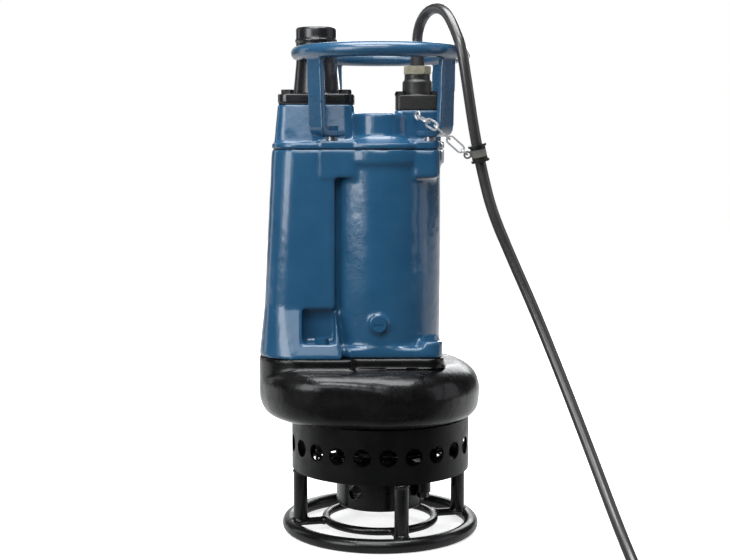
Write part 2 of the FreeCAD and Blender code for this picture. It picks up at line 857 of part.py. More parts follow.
def make_cover():
    gasket = new_body("cover_gasket")
    low = d.frame_high
    high = d.cover_low
    pad(gasket, low, high, circles=[(0, 0, d.collar_radius - 1)])
    area = duct_outline(-d.duct_top_left + 2, -d.duct_front + 2, -60, d.duct_front - 2,
                        d.duct_corner - 2)
    pad(gasket, low, high, [area])
    pocket(gasket, low, high, circles=[(0, 0, d.stator_bore)])
    pocket(gasket, low, high, circles=[(-d.duct_bore_left, d.duct_bore_back, d.duct_bore)])
    pocket(gasket, low, high, circles=[(x, y, M10_HOLE) for x, y in HANDLE_BOLTS])
    node(gasket, "cover_gasket")

    body = new_body("top_cover")
    low = d.cover_low
    flange = d.cover_flange_high
    pad(body, low, flange, circles=[(0, 0, d.collar_radius)])
    base = duct_outline(-d.duct_top_left, -d.duct_front, -60, d.duct_front, d.duct_corner)
    pad(body, low, flange, [base])
    cap = d.cap_radius
    turn(body, [(0, low), (63, low), (63, flange + 1), (60, flange + 3.5), (54, flange + 4.5),
                (51, flange + 8), (cap, flange + 11), (cap, d.cap_high - 4, 4),
                (cap - 4, d.cap_high), (0, d.cap_high)])
    for left, front, right, back, lug_low in LUGS:
        pad(body, low, flange + 3, [rounded_box(left, front, right, back, d.lug_corner)])
    wide = rounded_box(-157, -36, -34, 62, 20)
    head = rounded_box(-d.head_left, -d.head_front, -d.head_right, d.head_back, 16)
    loft(body, low, wide, d.head_high, head)
    front = d.gland_pad_front
    pad(body, low, d.gland_pad_high, [rounded_box(20, -front, 88, front, 8)])
    turn(body, [(31.05, low - 26), (42, low - 26), (42, low + 1), (31.05, low + 1)])
    turn_away(body, [(0, low - 27), (31.05, low - 27), (31.05, low - 9.5), (27, low - 9.5),
                     (27, d.cap_high - 14), (0, d.cap_high - 14)])
    pocket(body, low, d.gland_pad_high - 8, [rounded_box(15, -12, 68, 12, 6)])
    bore_low = ("circle", -d.duct_bore_left, d.duct_bore_back, d.duct_bore)
    bore_high = ("circle", -d.coupling_x, d.coupling_y, d.coupling_bore)
    loft(body, low, bore_low, d.head_high - 14, bore_high, away=True)
    pocket(body, d.head_high - 14.5, d.head_high,
           circles=[(-d.coupling_x, d.coupling_y, d.coupling_bore + 1.5)])
    for x, y in HANDLE_BOLTS:
        pocket(body, low, flange + 3, circles=[(x, y, M10_HOLE)])
    pocket(body, d.head_high - 16, d.head_high,
           circles=[(x, y, M10_HOLE) for x, y in coupling_bolt_places()])
    pocket(body, d.gland_pad_high - 14, d.gland_pad_high,
           circles=[(x, y, M8_HOLE) for x, y in gland_bolt_places()])
    node(body, "top_cover")


# Hose coupling on the discharge head

def coupling_bolt_places():
    span = d.coupling_bolt_span
    return [(-d.coupling_x + across * span, d.coupling_y + along * d.coupling_bolt_depth)
            for across in (-1, 1) for along in (-1, 1)]


def make_coupling():
    half_x = (d.head_left - d.head_right) / 2
    half_y = (d.head_front + d.head_back) / 2
    x, y = -d.coupling_x, d.coupling_y
    base = d.head_high + d.gasket_thick
    flange = rounded_box(x - half_x, y - half_y, x + half_x, y + half_y, 16)
    gasket = new_body("discharge_gasket")
    pad(gasket, d.head_high, base, [rounded_box(x - half_x + 1, y - half_y + 1,
                                                x + half_x - 1, y + half_y - 1, 15)])
    holes = [(a, b, M10_HOLE) for a, b in coupling_bolt_places()]
    pocket(gasket, d.head_high, base, circles=holes + [(x, y, d.coupling_bore + 1.5)])
    node(gasket, "discharge_gasket")

    body = new_body("coupling_flange")
    high = d.coupling_flange_high
    pad(body, base, high, [flange])
    tube = new_body("hose_spigot")
    bead = d.coupling_bead_level
    radius = d.coupling_radius
    turn(tube, [(d.coupling_bore, base), (d.coupling_foot_radius, base),
                (d.coupling_foot_radius, high + 5), (radius, high + 46),
                (radius, bead - 4), (d.coupling_bead, bead - 1), (d.coupling_bead, bead + 1),
                (radius, bead + 2), (radius, d.coupling_high - 2),
                (radius - 2, d.coupling_high), (d.coupling_bore, d.coupling_high)])
    place(tube, (x, y, 0))
    whole = fuse([body, tube])
    tools = [cylinder(x, y, base - 1, d.coupling_high + 1, d.coupling_bore)]
    tools += [cylinder(a, b, base - 1, high + 1, M10_HOLE) for a, b in coupling_bolt_places()]
    node(cut(whole, fuse(tools)), "hose_coupling")
    bolt_group("coupling_bolts", coupling_bolt_places(), high, 5, 30, 16, 6.5)


# Handle: an open ring, its flat legs, spacers and bolts

def make_handle():
    radius = d.handle_radius
    half_bar = d.handle_bar / 2
    start = d.handle_start
    sweep = d.handle_end - d.handle_start
    ends = [sphere(*polar(radius, angle), d.handle_level, half_bar)
            for angle in (d.handle_start, d.handle_end)]
    ring = torus(radius, d.handle_bar, d.handle_level, start - 90, sweep)
    node(fuse([ring] + ends, "handle_ring"), "handle_ring")

    legs = []
    bend = d.handle_bend
    thick = d.handle_leg_thick
    inner_bend = bend - thick
    low = d.foot_low
    out = d.handle_leg_radius + thick / 2
    top_out = radius + thick / 2
    for number, (angle, bolt_radius, tip) in enumerate(HANDLE_LEGS, start=1):
        leg = new_body("handle_leg_%d" % number)
        profile = [(tip, low), (out - bend, low, bend), (out, low + bend),
                   (top_out, d.handle_leg_top), (top_out - thick, d.handle_leg_top),
                   (out - thick, low + bend, -inner_bend), (out - bend, low + thick),
                   (tip, low + thick)]
        feature = leg.newObject("PartDesign::Pad", helper_name("Leg"))
        feature.Profile = sketch_in(leg, "XZ_Plane", [profile])
        feature.Midplane = True
        bind(feature, "Length", d.handle_leg_width)
        pocket(leg, low - 1, low + thick + 1, circles=[(bolt_radius, 0, M10_HOLE)])
        place(leg, angle=as_size(angle) - 90)
        legs.append(cut(leg, torus(radius, d.handle_bar, d.handle_level)))
    node(group(legs, "handle_legs"), "handle_legs")

    seat = d.cover_flange_high + 3
    spacers = [tube_piece(x, y, seat, low, d.spacer_radius, M10_HOLE) for x, y in HANDLE_BOLTS]
    node(group(spacers, "handle_spacers"), "handle_spacers")
    length = low + thick - (d.frame_high - 36)
    bolt_group("handle_bolts", HANDLE_BOLTS, low + thick, 5, length, 16, 6.5)


# Cable gland on the cover pad

def gland_bolt_places():
    span = d.gland_bolt_span
    return [(d.gland_x + across * span, along * span) for across in (-1, 1) for along in (-1, 1)]


def make_gland():
    x = d.gland_x
    half = d.gland_plate_half
    low = d.gland_pad_high
    high = d.gland_plate_high
    bore = d.cable_radius + GAP
    plate = new_body("gland_plate")
    pad(plate, low, high, [rounded_box(x - half, -half, x + half, half, 7)])
    pocket(plate, low, high, circles=[(a, b, M8_HOLE) for a, b in gland_bolt_places()])
    node(plate, "gland_plate")
    bolt_group("gland_bolts", gland_bolt_places(), high, 4, high - low + 12, 13, 5.5)
    body = new_body("gland_body")
    half = d.gland_body_half
    turn(body, [(bore, high), (half, high), (half, high + 20), (half - 3, high + 23),
                (half - 3, d.gland_body_high), (bore, d.gland_body_high)])
    place(body, (x, 0, 0))
    node(body, "gland_body")
    nut = cut(hexagon(x, 0, d.gland_body_high, d.gland_nut_high, d.gland_nut_flats),
              cylinder(x, 0, d.gland_body_high - 1, d.gland_nut_high + 1, bore), "gland_nut")
    node(nut, "gland_nut")
    sleeve = new_body("gland_sleeve")
    turn(sleeve, [(bore, d.gland_nut_high), (d.sleeve_radius, d.gland_nut_high),
                  (d.sleeve_radius - 1.2, d.sleeve_high), (bore, d.sleeve_high)])
    place(sleeve, (x, 0, 0))
    node(sleeve, "gland_sleeve")


# Shaft, rotor and impellers

def make_rotor():
    shaft = new_body("shaft")
    turn(shaft, [(0, d.shaft_low), (d.tail_radius, d.shaft_low), (d.tail_radius, d.agitator_low),
                 (d.agitator_seat, d.agitator_low), (d.agitator_seat, d.impeller_low),
                 (d.impeller_seat, d.impeller_low), (d.impeller_seat, 250), (d.seal_seat, 250),
                 (d.seal_seat, d.oil_top), (d.lower_bearing_seat, d.oil_top),
                 (d.lower_bearing_seat, d.motor_floor), (d.rotor_seat, d.motor_floor),
                 (d.rotor_seat, d.cover_low - 26), (d.upper_bearing_seat, d.cover_low - 26),
                 (d.upper_bearing_seat, d.shaft_top), (0, d.shaft_top)])
    node(shaft, "shaft")
    node(tube_piece(0, 0, d.stack_low, d.stack_high, d.rotor_radius, d.rotor_seat), "rotor_core")

    impeller = new_body("impeller")
    turn(impeller, [(d.impeller_seat, d.impeller_low), (24, d.impeller_low),
                    (26, d.impeller_back_low), (d.impeller_radius, d.impeller_back_low),
                    (d.impeller_radius, d.impeller_back_high), (24, d.impeller_back_high),
                    (24, 244), (d.impeller_seat, 244)])
    tip = d.impeller_radius - 2
    thick = d.vane_thick
    vane = pad(impeller, d.vane_low, d.impeller_back_low + 1,
               [[(18, -8), (tip - 10, -38, 62), (tip - 6, -38 + thick, -70), (20, -8 + thick)]])
    pattern(impeller, [vane], d.impeller_vane_count)
    node(impeller, "impeller")

    agitator = new_body("agitator")
    low = d.agitator_low
    high = d.agitator_high
    turn(agitator, [(d.agitator_seat, low), (19, low), (22, low + 6), (18, high),
                    (d.agitator_seat, high)])
    blade = agitator.newObject("PartDesign::Pad", helper_name("Blade"))
    blade.Profile = sketch_in(agitator, "YZ_Plane",
                              [[(-12, low + 3), (-4, low + 3), (12, high - 5), (4, high - 5)]],
                              level=15)
    bind(blade, "Length", d.agitator_radius - 15)
    pattern(agitator, [blade], d.agitator_blade_count)
    node(agitator, "agitator")
    node(tube_piece(0, 0, high, d.impeller_low, 16, d.agitator_seat), "shaft_sleeve")
    nut = cut(hexagon(0, 0, low - 12, low, 27), cylinder(0, 0, low - 13, low + 1, d.tail_radius))
    node(nut, "agitator_nut")


# Motor, bearings and seals

def bearing(name, low, bore, outer, width, balls, ball):
    """A ball bearing: inner ring, outer ring and a set of balls in grooves."""
    middle = low + width / 2
    pitch = (bore + outer) / 2
    inner = tube_piece(0, 0, low, low + width, pitch - ball * 0.62, bore)
    node(cut(inner, torus(pitch, ball * 2.06, middle)), name + "_inner_ring")
    outer_ring = tube_piece(0, 0, low, low + width, outer, pitch + ball * 0.62)
    node(cut(outer_ring, torus(pitch, ball * 2.06, middle)), name + "_outer_ring")
    places = [polar(pitch, 360.0 / balls * index) for index in range(balls)]
    node(group([sphere(x, y, middle, ball) for x, y in places], name + "_balls"), name + "_balls")


def make_inside():
    node(tube_piece(0, 0, d.stack_low, d.stack_high, d.stator_bore, d.stator_inner),
         "stator_core")
    ends = [tube_piece(0, 0, low, high, 72, 52)
            for low, high in ((d.stack_low - 22, d.stack_low), (d.stack_high, d.stack_high + 24))]
    node(group(ends, "stator_windings"), "stator_windings")
    bearing("lower_bearing", d.bearing_web, d.lower_bearing_seat, as_size(36), as_size(19),
            7, 4.6)
    bearing("upper_bearing", d.cover_low - 26, d.upper_bearing_seat, as_size(31), as_size(16),
            7, 4.0)
    cover = new_body("seal_cover")
    turn(cover, [(20, 248), (61.8, 248), (61.8, d.casing_face), (30, d.casing_face),
                 (30, 262), (20, 262)])
    node(cover, "seal_cover")
    node(tube_piece(0, 0, 262, d.casing_face, 30, 15.5), "lower_seal_seat")
    node(tube_piece(0, 0, d.casing_face, 291, 22, d.seal_seat), "lower_seal_ring")
    node(tube_piece(0, 0, 314, d.oil_top - 6, 22, d.seal_seat), "upper_seal_ring")
    node(tube_piece(0, 0, d.oil_top - 6, d.oil_top, 34, 15.5), "upper_seal_seat")


# Cable clamp, chain and cable

ROUTE = [
    (54.0, 0.0, 650.0), (54.0, 0.0, 720.5), (53.8, -1.5, 738.8), (58.7, -10.2, 760.9),
    (68.5, -27.7, 775.5), (81.1, -50.1, 778.3), (93.2, -71.6, 767.7), (103.2, -89.5, 740.7),
    (111.6, -104.0, 713.0), (118.8, -105.0, 668.0), (131.0, -98.0, 593.5),
    (143.6, -93.5, 540.0), (161.9, -95.0, 483.6), (197.0, -100.0, 415.5),
    (232.5, -117.0, 340.5), (264.0, -152.0, 250.0), (291.0, -207.0, 158.0),
    (312.0, -270.0, 78.0), (328.0, -332.0, 26.0), (338.0, -392.0, 8.5), (341.0, -460.0, 7.75),
]
CLAMP_POINT = 11
"""Index of the route point at the lower end of the run that the clamp holds."""


CLAMP_HOLE = Vector(-16.0, 0, 1)
"""Middle of the hole in the clamp's lug that takes the chain, in the clamp's own axes."""


def cable_path():
    """Straight runs joined by tangent arcs, each as large as its two runs allow."""
    points = [Vector(*place_of) for place_of in ROUTE]
    edges = []
    here = points[0]
    length = 0
    for index in range(1, len(points) - 1):
        before = (points[index] - points[index - 1])
        after = (points[index + 1] - points[index])
        turned = before.getAngle(after)
        reach = 0.49 * min(before.Length, after.Length)
        radius = reach / math.tan(turned / 2)
        first = points[index] - before.normalize() * reach
        last = points[index] + after.normalize() * reach
        inward = (after - before).normalize()
        middle = points[index] + inward * (radius / math.cos(turned / 2) - radius)
        edges.append(Part.LineSegment(here, first).toShape())
        edges.append(Part.Arc(first, middle, last).toShape())
        length += (first - here).Length + radius * turned
        print("cable bend %d: radius %.0f, turn %.0f" % (index, radius, math.degrees(turned)))
        here = last
    edges.append(Part.LineSegment(here, points[-1]).toShape())
    length += (points[-1] - here).Length
    return Part.Wire(edges), length


def along_route(item, low_index, share):
    """Stand an item on a route run with its own Z axis along the run, pointing up it."""
    low = Vector(*ROUTE[low_index])
    high = Vector(*ROUTE[low_index - 1])
    direction = high - low
    item.Placement = Placement(low + direction * share, Rotation(Vector(0, 0, 1), direction))
    return item


def make_cable():
    wire, length = cable_path()
    radius = d.cable_radius.number
    disc = Part.Circle(Vector(*ROUTE[0]), Vector(0, 0, 1), radius).toShape()
    tube = wire.makePipeShell([Part.Wire([disc])], True, False)
    print("cable tube: length %.0f, volume ratio %.4f"
          % (length, tube.Volume / (length * math.pi * radius ** 2)))
    node(solid(tube, "power_cable"), "power_cable")

    columns = d.coil_columns
    layers = d.coil_layers
    coil_length = d.cable_length.number - length
    mean = coil_length / (columns.number * layers.number) / (2 * math.pi)
    print("cable coil: mean radius %.1f" % mean)
    coil = new_body("cable_coil")
    outer = mean + columns * d.cable_radius
    inner = mean - columns * d.cable_radius
    high = layers * 2 * d.cable_radius
    corner = d.cable_radius
    turn(coil, [(inner, corner), (inner + corner, 0), (outer - corner, 0), (outer, corner),
                (outer, high - corner), (outer - corner, high), (inner + corner, high),
                (inner, high - corner)])
    end = Vector(*ROUTE[-1])
    heading = (end - Vector(*ROUTE[-2]))
    across = Vector(heading.y, -heading.x, 0).normalize()
    centre = end + across * (outer.number + radius + 0.3)
    print("cable coil: centre %.1f, %.1f" % (centre.x, centre.y))
    place(coil, (centre.x, centre.y, 0))
    node(coil, "cable_coil")

    sleeve = tube_piece(0, 0, -9, 9, radius + 3.2, radius + 0.5)
    rings = [tube_piece(0, 0, low, low + 3.5, radius + 5.2, radius + 0.5) for low in (9, -12.5)]
    clamp = fuse([sleeve] + rings)
    doc.recompute()
    half = d.lug_plate.number / 2
    hole = d.lug_hole.number
    side = Vector(0, 1, 0)
    lug = Part.makeCylinder(hole + 2.5, 2 * half, CLAMP_HOLE - side * half, side)
    lug = lug.fuse(Part.makeBox(7, 2 * half, 9, CLAMP_HOLE - Vector(0, half, 4.5)))
    lug = lug.cut(Part.makeCylinder(hole, 4 * half, CLAMP_HOLE - side * 2 * half, side))
    held = solid(clamp.Shape.fuse(lug).removeSplitter(), "cable_clamp")
    node(along_route(held, CLAMP_POINT, 0.5), "cable_clamp")


# Chain from the cover pad to the clamp

def link_shape(outer_length, outer_width, thick):
    """One flat-sided chain link about the origin, long along X, flat on the plan."""
    def stadium(length, width):
        half = (length - width) / 2
        body = Part.makeBox(2 * half, width, thick, Vector(-half, -width / 2, -thick / 2))
        for side in (-1, 1):
            end = Part.makeCylinder(width / 2, thick, Vector(side * half, 0, -thick / 2))
            body = body.fuse(end)
        return body.removeSplitter()
    return stadium(outer_length, outer_width).cut(
        stadium(outer_length - 2 * thick, outer_width - 2 * thick).copy())


def make_chain():
    """Five links from an eye on the cable pad, round a handle leg, to the lug on the clamp."""
    eye = Vector(52.5, -58.5, 620)
    corner = Vector(77, -98, 603)
    radius = d.eye_radius.number
    wire = d.link_wire.number
    play = d.link_play.number
    width = d.link_width.number
    clamp = [item for item in NODES if item.Label == "cable_clamp"][0]
    hole = clamp.Placement.multVec(CLAMP_HOLE)
    first = (corner - eye).normalize()
    last = (hole - corner).normalize()

    flat = Vector(first.x, first.y, 0).normalize()
    ring = Part.makeTorus(radius, d.eye_wire.number, Vector(0, 0, 0), Vector(flat.y, -flat.x, 0))
    root = flat * -radius
    stem_end = -d.gland_pad_front.number - eye.y
    stem = Part.makeCylinder(1.8, stem_end - root.y + 0.6, root - Vector(0, 0.6, 0), Vector(0, 1, 0))
    staple = solid(ring.fuse(stem), "chain_eye")
    staple.Placement = Placement(eye, Rotation())
    node(staple, "chain_eye")

    last_pitch = d.last_link_pitch.number
    begin = eye + first * (radius - d.eye_wire.number - play)
    finish = hole - last * (d.lug_hole.number - play)
    pitch_first = (corner - begin).Length / 2
    start_last = corner - last * d.corner_play.number
    pitch_last = ((finish - start_last).Length - last_pitch) / 2
    print("chain: pitches %.1f and %.1f" % (pitch_first, pitch_last))
    links = []
    at = begin
    for aim, pitch in ((first, pitch_first), (first, pitch_first), (last, pitch_last),
                       (last, pitch_last), (last, last_pitch)):
        if len(links) == 2:
            at = start_last
        link = link_shape(pitch + 2 * wire + 2 * play, width, wire)
        link.rotate(Vector(0, 0, 0), Vector(1, 0, 0), 90 * (len(links) % 2))
        turned = Rotation(Vector(1, 0, 0), aim)
        link.Placement = Placement(at + aim * (pitch / 2), turned).multiply(link.Placement)
        links.append(link)
        at = at + aim * pitch
    node(solid(Part.makeCompound(links), "clamp_chain"), "clamp_chain")


def check_document():
    doc.recompute()
    bad = []
    for item in doc.Objects:
        if "Invalid" in item.State or "Error" in item.State:
            bad.append("%s: %s" % (item.Label, item.State))
    for item in NODES:
        if item.Shape.isNull() or not item.Shape.isValid():
            bad.append("%s has no valid shape" % item.Label)
    if bad:
        raise RuntimeError("; ".join(bad))


def write_parts():
    os.makedirs("parts", exist_ok=True)
    for item in NODES:
        item.Shape.exportStep("parts/%s.step" % item.Label)
        print("%-24s solids %2d volume %9.0f" % (item.Label, len(item.Shape.Solids),
                                                 item.Shape.Volume))


make_stand()
make_strainer()
make_suction()
make_volute()
make_frame()
make_cover()
make_coupling()
make_handle()
make_gland()
make_rotor()
make_inside()
make_cable()
make_chain()
check_document()
write_parts()
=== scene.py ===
"""Looks of a portable slurry pump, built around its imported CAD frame."""
import math

import bmesh
import bpy
import numpy as np
from mathutils import Matrix, Vector


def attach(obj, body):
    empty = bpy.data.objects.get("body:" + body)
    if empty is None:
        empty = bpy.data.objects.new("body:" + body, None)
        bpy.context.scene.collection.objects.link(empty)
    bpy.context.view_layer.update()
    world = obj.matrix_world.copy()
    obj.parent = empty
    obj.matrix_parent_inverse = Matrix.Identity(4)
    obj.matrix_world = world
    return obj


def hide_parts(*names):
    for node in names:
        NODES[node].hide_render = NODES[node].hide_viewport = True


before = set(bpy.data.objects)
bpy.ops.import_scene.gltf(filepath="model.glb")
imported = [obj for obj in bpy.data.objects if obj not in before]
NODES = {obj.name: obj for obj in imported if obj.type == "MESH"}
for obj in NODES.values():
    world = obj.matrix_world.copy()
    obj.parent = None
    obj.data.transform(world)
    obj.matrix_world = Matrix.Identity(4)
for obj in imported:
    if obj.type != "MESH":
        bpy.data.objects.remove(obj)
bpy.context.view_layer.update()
BODY = "pump"


# Camera, in metres, millimetres of lens and degrees

CAMERA_PLACE = (-0.023, -2.0, 0.581)
CAMERA_LOOKS_DOWN = 5.82
LENS = 66.33
SENSOR_WIDTH = 36.0


def make_camera():
    data = bpy.data.cameras.new("camera")
    data.sensor_width = SENSOR_WIDTH
    data.lens = LENS
    camera = bpy.data.objects.new("camera", data)
    camera.location = CAMERA_PLACE
    camera.rotation_euler = (math.radians(90 - CAMERA_LOOKS_DOWN), 0, 0)
    bpy.context.collection.objects.link(camera)
    bpy.context.scene.camera = camera
    bpy.context.scene.view_settings.view_transform = "Standard"


make_camera()


# The cable's radius and route, in metres

R = 0.00775
ROUTE = [
    (0.0540, 0.0000, 0.6500), (0.0540, 0.0000, 0.7205), (0.0538, -0.0015, 0.7388),
    (0.0587, -0.0102, 0.7585), (0.0685, -0.0277, 0.7713), (0.0811, -0.0501, 0.7738),
    (0.0932, -0.0716, 0.7640), (0.1032, -0.0895, 0.7395), (0.1116, -0.1040, 0.7130),
    (0.1188, -0.1050, 0.6680), (0.1310, -0.0980, 0.5935), (0.1426, -0.0935, 0.5400),
    (0.1569, -0.0950, 0.4836), (0.1860, -0.1000, 0.4155), (0.2185, -0.1170, 0.3405),
    (0.2530, -0.1520, 0.2500), (0.2850, -0.2070, 0.1580), (0.3105, -0.2700, 0.0780),
    (0.3280, -0.3320, 0.0260), (0.3380, -0.3920, 0.0085), (0.3410, -0.4600, 0.00775),
]
CLAMP_POINT = 11


# Node trees

class Nodes:
    """Short calls to build the node tree of a material or a world."""

    def __init__(self, owner, output="OutputMaterial"):
        owner.use_nodes = True
        self.owner = owner
        self.tree = owner.node_tree
        self.tree.nodes.clear()
        self.output = self.add(output)
        self.coordinates = self.add("TexCoord").outputs
        self.place = self.coordinates["Object"]

    def add(self, kind, **inputs):
        """A node with its inputs set by name, or by number after an underscore."""
        node = self.tree.nodes.new("ShaderNode" + kind)
        self.feed(node, inputs)
        return node

    def feed(self, node, inputs):
        for name, value in inputs.items():
            socket = node.inputs[int(name[1:]) if name[0] == "_" else name.replace("_", " ")]
            if isinstance(value, bpy.types.NodeSocket):
                self.tree.links.new(value, socket)
            else:
                socket.default_value = value

    def noise(self, size, detail=3.0, rough=0.5, stretch=None):
        """Noise from about -0.5 to 0.5 whose lumps are about this size in metres."""
        place = self.place
        if stretch:
            place = self.add("Mapping", Vector=self.place, Scale=stretch).outputs[0]
        node = self.add("TexNoise", Vector=place, Scale=1.0 / size, Detail=detail,
                        Roughness=rough)
        return self.maths("SUBTRACT", node.outputs["Fac"], 0.5)

    def cells(self, size):
        """Distance to the nearest of many scattered points about this far apart."""
        return self.add("TexVoronoi", Vector=self.place, Scale=1.0 / size).outputs["Distance"]

    def maths(self, how, first, second=0.0):
        node = self.add("Math", _0=first, _1=second)
        node.operation = how
        return node.outputs[0]

    def vector_maths(self, how, first, second=(0.0, 0.0, 0.0)):
        node = self.add("VectorMath", _0=first, _1=second)
        node.operation = how
        return node.outputs

    def ramp(self, value, low, high, low_to=0.0, high_to=1.0):
        return self.add("MapRange", Value=value, _1=low, _2=high, _3=low_to, _4=high_to).outputs[0]

    def vary(self, noise, low, high, reach=0.3):
        """A value that follows a noise from low to high; a smaller reach gives harder edges."""
        return self.ramp(noise, -reach, reach, low, high)

    def mix(self, share, first, second):
        node = self.tree.nodes.new("ShaderNodeMix")
        node.data_type = "RGBA"
        self.feed(node, {"_0": share, "_6": first, "_7": second})
        return node.outputs[2]

    def pick(self, share, first, second):
        """One shader where the share is 0 and the other where it is 1."""
        return self.add("MixShader", _0=share, _1=first, _2=second).outputs[0]

    def finish(self, surface):
        self.tree.links.new(surface, self.output.inputs["Surface"])

    def principled(self, colour, roughness, heights=(), **inputs):
        """A finished material; heights are pairs of a noise and its depth in metres."""
        node = self.add("BsdfPrincipled", Base_Color=colour, Roughness=roughness, **inputs)
        total = None
        for noise, depth in heights:
            part = self.maths("MULTIPLY", noise, depth)
            total = part if total is None else self.maths("ADD", total, part)
        if total is not None:
            bump = self.add("Bump", Height=total, Strength=1.0, Distance=1.0)
            self.tree.links.new(bump.outputs[0], node.inputs["Normal"])
        self.finish(node.outputs[0])
        return self.owner


def new_material(name):
    return Nodes(bpy.data.materials.new(name))


def rgb(red, green, blue):
    """A colour given as it looks on screen, 0 to 255, as the shader wants it."""
    def straight(value):
        value = value / 255.0
        return value / 12.92 if value <= 0.04045 else ((value + 0.055) / 1.055) ** 2.4
    return (straight(red), straight(green), straight(blue), 1.0)


# Materials: sizes and depths in metres, colours as they look on screen

DUST = rgb(150, 146, 140)
DUST_FILM = 0.35
DUST_FILM_SIZE, GRIT_SIZE = 0.045, 0.0036
PAINT_PATCH_SIZE, GLOSS_PATCH_SIZE = 0.07, 0.018
LUMP_SIZE, PEEL_SIZE, FINE_PEEL_SIZE = 0.010, 0.0042, 0.0021
SPECK_SIZE, SPECK_GROUP_SIZE, SPECK_DEPTH = 0.006, 0.03, 0.00022
PAINT_COAT_ROUGHNESS = 0.09
STAIN_SIZE = 0.008
SCRATCH_WIDTH, SCRATCH_DEPTH, SCRATCH_STRETCH = 0.0006, 0.00002, (1.0, 1.0, 0.15)
DENT_SIZE, DENT_DEPTH = 0.002, 0.00003
RUBBER_PATCH_SIZE, RUBBER_GLOSS_SIZE = 0.04, 0.006
GRAIN_SIZE, GRAIN_DEPTH = 0.0007, 0.00004
WAVE_SIZE, WAVE_DEPTH = 0.005, 0.00008
RUBBER_COAT_ROUGHNESS = 0.22


def cast_paint(name, dark, light, lump, peel, roughness, coat, specular=0.5, dust=0.04):
    """Glossy paint over a casting, whose lumps and orange peel have these depths."""
    n = new_material(name)
    patch = n.vary(n.noise(PAINT_PATCH_SIZE, detail=4.0, rough=0.6), 0.0, 1.0, reach=0.25)
    shade = n.mix(patch, rgb(*dark), rgb(*light))
    speck = n.ramp(n.cells(SPECK_SIZE), 0.03, 0.09, 1.0, 0.0)
    group = n.ramp(n.noise(SPECK_GROUP_SIZE, detail=2.0), 0.02, 0.2)
    grit = n.ramp(n.cells(GRIT_SIZE), 0.04, 0.13, 1.0, 0.0)
    film = n.ramp(n.noise(DUST_FILM_SIZE, detail=5.0, rough=0.7), -0.02, 0.28, 0.0, DUST_FILM)
    grime = n.maths("MULTIPLY", n.maths("ADD", film, n.maths("MULTIPLY", grit, film)), dust)
    shade = n.mix(grime, shade, DUST)
    gloss = n.vary(n.noise(GLOSS_PATCH_SIZE), roughness * 0.75, roughness * 1.35)
    gloss = n.maths("ADD", gloss, grime)
    heights = [(n.noise(LUMP_SIZE, rough=0.55), lump), (n.noise(PEEL_SIZE, detail=2.0), peel),
               (n.noise(FINE_PEEL_SIZE, detail=1.0), 0.6 * peel),
               (n.maths("MULTIPLY", speck, group), SPECK_DEPTH)]
    return n.principled(shade, gloss, heights, Coat_Weight=coat,
                        Coat_Roughness=PAINT_COAT_ROUGHNESS, Specular_IOR_Level=specular)


def worn_metal(name, light, dark, roughness, metallic=1.0):
    """Metal with stains and fine scratches that run upwards."""
    n = new_material(name)
    stain = n.ramp(n.noise(STAIN_SIZE, detail=5.0, rough=0.65), -0.2, 0.25)
    shade = n.mix(stain, rgb(*dark), rgb(*light))
    scratch = n.noise(SCRATCH_WIDTH, detail=2.0, stretch=SCRATCH_STRETCH)
    gloss = n.vary(scratch, roughness * 0.7, roughness * 1.4)
    heights = [(scratch, SCRATCH_DEPTH), (n.noise(DENT_SIZE, detail=2.0), DENT_DEPTH)]
    return n.principled(shade, gloss, heights, Metallic=metallic)


def rubber(name, dark, light, roughness, coat=0.0):
    """Rubber with paler patches, a fine grain and a slow wave."""
    n = new_material(name)
    patch = n.vary(n.noise(RUBBER_PATCH_SIZE, detail=4.0, rough=0.6), 0.0, 1.0, reach=0.25)
    shade = n.mix(patch, rgb(*dark), rgb(*light))
    gloss = n.vary(n.noise(RUBBER_GLOSS_SIZE, detail=4.0), roughness * 0.85, roughness * 1.2)
    heights = [(n.noise(GRAIN_SIZE, detail=2.0), GRAIN_DEPTH),
               (n.noise(WAVE_SIZE, detail=2.0), WAVE_DEPTH)]
    return n.principled(shade, gloss, heights, Specular_IOR_Level=0.5, Coat_Weight=coat,
                        Coat_Roughness=RUBBER_COAT_ROUGHNESS)


CLAMP_RIM = (0.0050, 0.0056)


def clamp_skin_with_painted_highlight():
    """Grey in the middle of the sleeve, a painted highlight, and dark on its rims and lug."""
    n = new_material("clamp_rubber_painted_highlight")
    low, high = (Vector(ROUTE[point]) for point in (CLAMP_POINT, CLAMP_POINT - 1))
    axis = (high - low).normalized()
    away = n.vector_maths("SUBTRACT", n.place, tuple((low + high) / 2))[0]
    along = n.vector_maths("DOT_PRODUCT", away, tuple(axis))["Value"]
    rim = n.ramp(n.maths("ABSOLUTE", along), *CLAMP_RIM)
    grain = n.vary(n.noise(RUBBER_GLOSS_SIZE, detail=4.0), 0.0, 1.0, reach=0.25)
    # the middle's lighter grey is a painted highlight on the sleeve, not its own colour
    middle = n.mix(grain, rgb(92, 91, 86), rgb(118, 117, 111))
    edge = n.mix(grain, rgb(20, 20, 21), rgb(34, 34, 35))
    gloss = n.vary(n.noise(0.004), 0.30, 0.46)
    return n.principled(n.mix(rim, middle, edge), gloss, [(n.noise(0.0012), GRAIN_DEPTH)])


